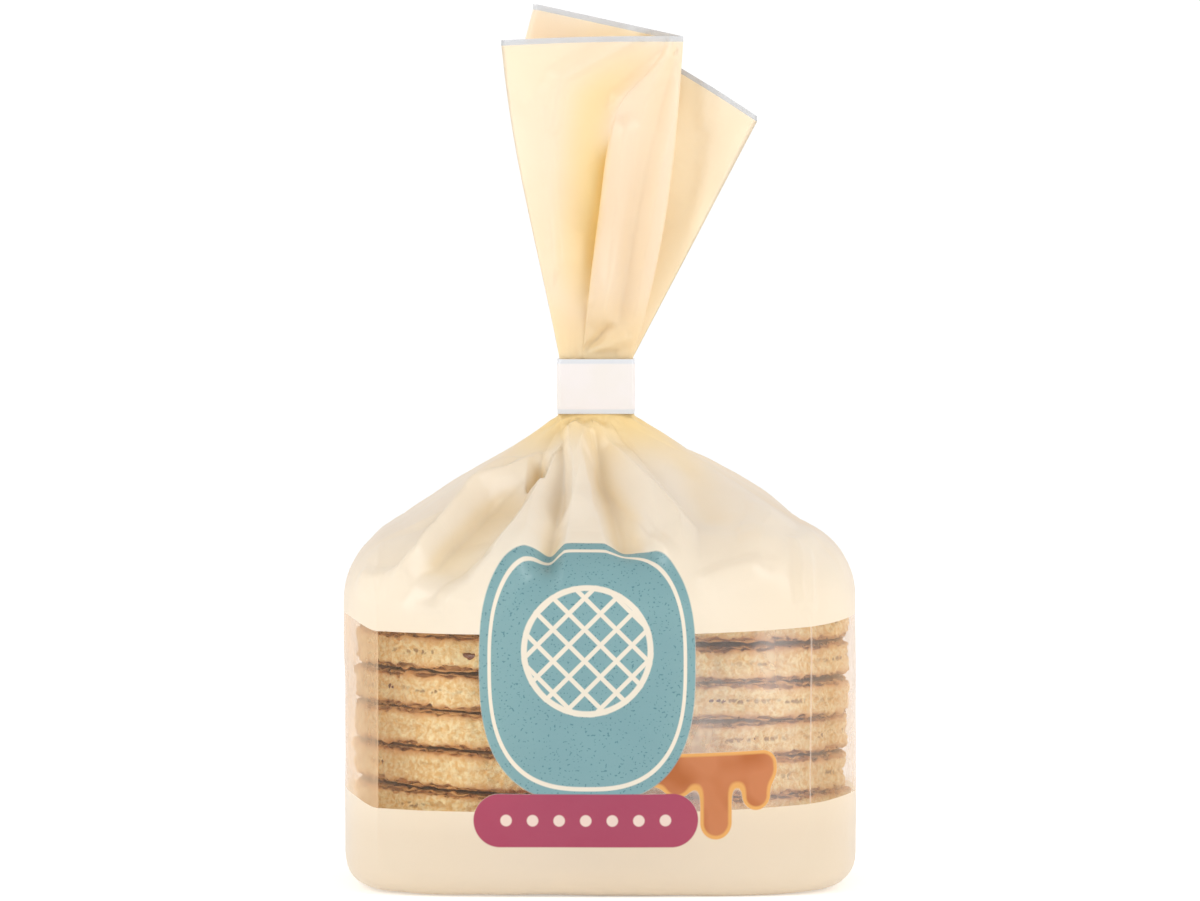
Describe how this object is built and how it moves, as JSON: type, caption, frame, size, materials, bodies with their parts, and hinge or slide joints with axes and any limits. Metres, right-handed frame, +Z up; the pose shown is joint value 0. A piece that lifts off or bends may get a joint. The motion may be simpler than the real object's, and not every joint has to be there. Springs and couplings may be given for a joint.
{
  "type": "bag of stroopwafels",
  "caption": "Squarish film bag round a stack of round syrup waffles, standing on its flat base, its neck gathered into a flat plastic band below a folded, fanned-out mouth.",
  "frame": {"origin": "middle of the bag's flat base, on the surface it stands on", "axes": "+Z up towards the folded mouth, -Y towards the printed front, +X to the right of the front"},
  "size_m": [0.1026, 0.094, 0.1752],
  "materials": {
    "bag_film": "cream printed film, satin, with soft folds",
    "neck_band": "white, satin",
    "clear_film": "clear, glossy",
    "waffle": "baked crust, crumbly cut edge",
    "syrup": "sticky, glossy"
  },
  "bodies": {
    "root": {"bag": "bag_film", "neck_band": "neck_band"}
  },
  "joints": []
}
